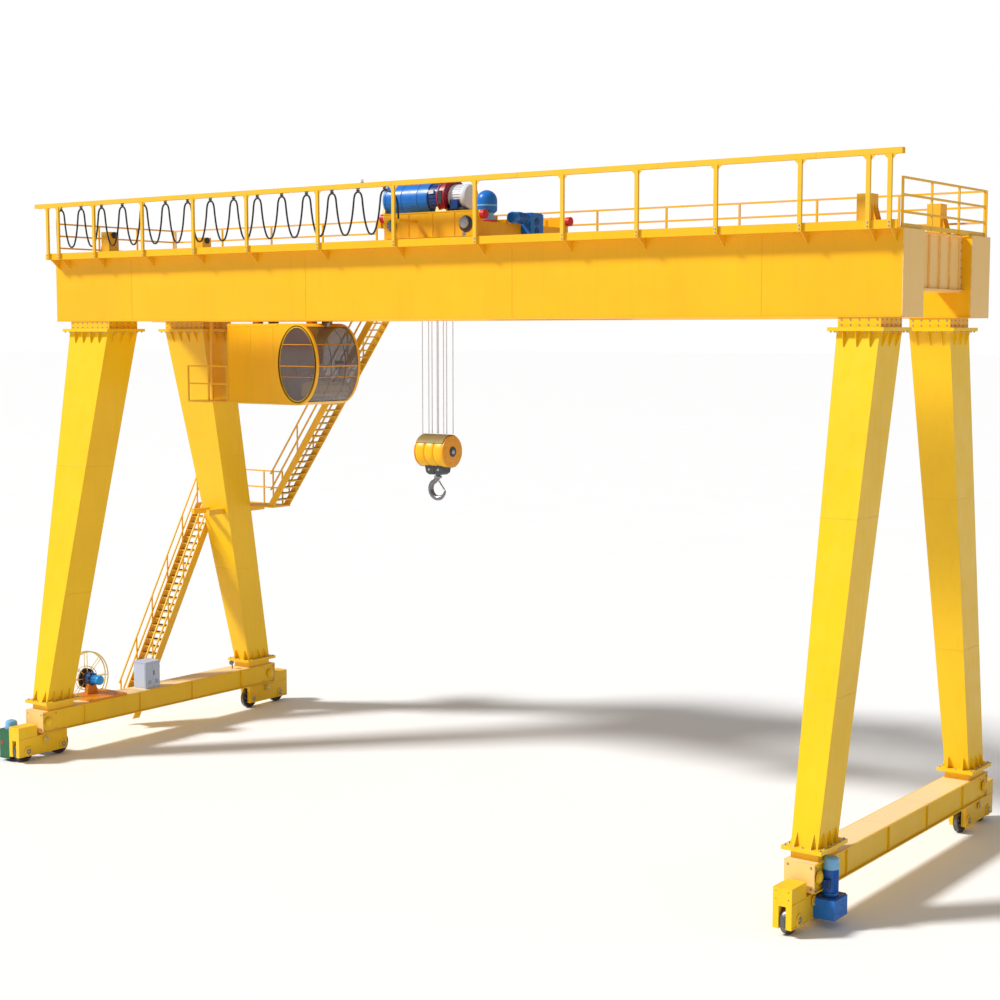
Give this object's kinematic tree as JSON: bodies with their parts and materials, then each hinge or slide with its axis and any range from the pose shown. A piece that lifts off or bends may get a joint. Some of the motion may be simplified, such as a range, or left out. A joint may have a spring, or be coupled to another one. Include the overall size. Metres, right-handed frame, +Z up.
{
  "type": "gantry crane",
  "caption": "Double-girder gantry crane on tapered A-frame legs and rail bogies, with a hoist trolley, hook block, operator's cab and stair.",
  "frame": {"origin": "on the crane rail tops, midway along the bridge and midway between the girders", "axes": "+X along the bridge, away from the cab; +Y along the crane rails, towards the girder that carries the cab; +Z up"},
  "size_m": [26.73, 10.8, 15.9],
  "materials": {
    "crane_yellow": "satin industrial paint",
    "leg_yellow": "satin industrial paint",
    "end_plate_tan": "satin paint",
    "rail_steel": "worn steel",
    "machinery_blue": "semi-gloss paint",
    "brake_red": "semi-gloss paint",
    "motor_white": "semi-gloss paint",
    "clamp_green": "semi-gloss paint",
    "wheel_dark": "dark steel",
    "rope_steel": "stranded wire",
    "cable_black": "matt rubber",
    "carrier_dark": "zinc and dark paint",
    "cab_glass": "tinted glass",
    "seat_grey": "grey vinyl",
    "cabinet_blue": "powder coat",
    "hook_steel": "forged steel"
  },
  "bodies": {
    "gantry": {"front_girder": "crane_yellow", "rear_girder": "crane_yellow", "beam_end_plates": "end_plate_tan", "end_ties": "crane_yellow", "trolley_rails": "rail_steel", "rail_end_stops": "crane_yellow", "front_shelf": "crane_yellow", "festoon_posts": "crane_yellow", "festoon_rail": "crane_yellow", "guard_rails": "crane_yellow", "left_legs": "leg_yellow", "right_legs": "leg_yellow", "leg_heads": "leg_yellow", "leg_feet": "leg_yellow", "sill_beams": "leg_yellow", "bogie_hangers": "leg_yellow", "cab_shell": "crane_yellow", "cab_door": "crane_yellow", "cab_glazing": "cab_glass", "cab_seat_and_consoles": "seat_grey", "cab_platform": "crane_yellow", "lower_stair_sides": "crane_yellow", "lower_stair_treads": "crane_yellow", "upper_stair_sides": "crane_yellow", "upper_stair_treads": "crane_yellow", "stair_landings": "crane_yellow", "electrical_cabinet": "cabinet_blue", "reel_stand": "crane_yellow", "festoon_cable": "cable_black", "festoon_carriers": "carrier_dark"},
    "trolley": {"trolley_frame": "crane_yellow", "trolley_wheels": "rail_steel", "hoist_drum": "machinery_blue", "hoist_brake": "brake_red", "hoist_motor": "motor_white", "brake_thruster": "machinery_blue", "trolley_drive": "machinery_blue", "hoist_ropes": "rope_steel"},
    "hook_block": {"hook_block": "crane_yellow"},
    "hook": {"crane_hook": "hook_steel"},
    "cable_reel": {"cable_reel": "crane_yellow"},
    "left_front_bogie": {"left_front_bogie": "leg_yellow", "left_travel_drive": "machinery_blue", "rail_clamp": "clamp_green"},
    "left_front_inner_wheel": {"left_front_inner_wheel": "wheel_dark"},
    "left_front_outer_wheel": {"left_front_outer_wheel": "wheel_dark"},
    "left_rear_bogie": {"left_rear_bogie": "leg_yellow"},
    "left_rear_inner_wheel": {"left_rear_inner_wheel": "wheel_dark"},
    "left_rear_outer_wheel": {"left_rear_outer_wheel": "wheel_dark"},
    "right_front_bogie": {"right_front_bogie": "leg_yellow", "right_travel_drive": "machinery_blue"},
    "right_front_inner_wheel": {"right_front_inner_wheel": "wheel_dark"},
    "right_front_outer_wheel": {"right_front_outer_wheel": "wheel_dark"},
    "right_rear_bogie": {"right_rear_bogie": "leg_yellow"},
    "right_rear_inner_wheel": {"right_rear_inner_wheel": "wheel_dark"},
    "right_rear_outer_wheel": {"right_rear_outer_wheel": "wheel_dark"}
  },
  "joints": [
    {"name": "trolley_travel", "type": "slide", "parent": "gantry", "child": "trolley", "axis": [1, 0, 0], "range_m": [-9.85, 9.7], "deforming": ["festoon_cable", "festoon_carriers"]},
    {"name": "hook_lift", "type": "slide", "parent": "trolley", "child": "hook_block", "axis": [0, 0, 1], "range_m": [-7.3, 4.2], "deforming": ["hoist_ropes"]},
    {"name": "hook_swivel", "type": "hinge", "parent": "hook_block", "child": "hook", "pos_m": [-0.82, 0, 8.2], "axis": [0, 0, 1], "continuous": true},
    {"name": "reel_spin", "type": "hinge", "parent": "gantry", "child": "cable_reel", "pos_m": [-12.32, -2.26, 1.85], "axis": [1, 0, 0], "continuous": true},
    {"name": "left_front_bogie_rock", "type": "hinge", "parent": "gantry", "child": "left_front_bogie", "pos_m": [-11.69, -4.465, 0.56], "axis": [1, 0, 0], "range_deg": [-2, 2]},
    {"name": "left_front_inner_wheel_spin", "type": "hinge", "parent": "left_front_bogie", "child": "left_front_inner_wheel", "pos_m": [-11.69, -3.85, 0.31], "axis": [1, 0, 0], "continuous": true},
    {"name": "left_front_outer_wheel_spin", "type": "hinge", "parent": "left_front_bogie", "child": "left_front_outer_wheel", "pos_m": [-11.69, -5.08, 0.31], "axis": [1, 0, 0], "continuous": true},
    {"name": "left_rear_bogie_rock", "type": "hinge", "parent": "gantry", "child": "left_rear_bogie", "pos_m": [-11.69, 4.465, 0.56], "axis": [1, 0, 0], "range_deg": [-2, 2]},
    {"name": "left_rear_inner_wheel_spin", "type": "hinge", "parent": "left_rear_bogie", "child": "left_rear_inner_wheel", "pos_m": [-11.69, 3.85, 0.31], "axis": [1, 0, 0], "continuous": true},
    {"name": "left_rear_outer_wheel_spin", "type": "hinge", "parent": "left_rear_bogie", "child": "left_rear_outer_wheel", "pos_m": [-11.69, 5.08, 0.31], "axis": [1, 0, 0], "continuous": true},
    {"name": "right_front_bogie_rock", "type": "hinge", "parent": "gantry", "child": "right_front_bogie", "pos_m": [12.17, -4.465, 0.56], "axis": [1, 0, 0], "range_deg": [-2, 2]},
    {"name": "right_front_inner_wheel_spin", "type": "hinge", "parent": "right_front_bogie", "child": "right_front_inner_wheel", "pos_m": [12.17, -3.85, 0.31], "axis": [1, 0, 0], "continuous": true},
    {"name": "right_front_outer_wheel_spin", "type": "hinge", "parent": "right_front_bogie", "child": "right_front_outer_wheel", "pos_m": [12.17, -5.08, 0.31], "axis": [1, 0, 0], "continuous": true},
    {"name": "right_rear_bogie_rock", "type": "hinge", "parent": "gantry", "child": "right_rear_bogie", "pos_m": [12.17, 4.465, 0.56], "axis": [1, 0, 0], "range_deg": [-2, 2]},
    {"name": "right_rear_inner_wheel_spin", "type": "hinge", "parent": "right_rear_bogie", "child": "right_rear_inner_wheel", "pos_m": [12.17, 3.85, 0.31], "axis": [1, 0, 0], "continuous": true},
    {"name": "right_rear_outer_wheel_spin", "type": "hinge", "parent": "right_rear_bogie", "child": "right_rear_outer_wheel", "pos_m": [12.17, 5.08, 0.31], "axis": [1, 0, 0], "continuous": true}
  ]
}
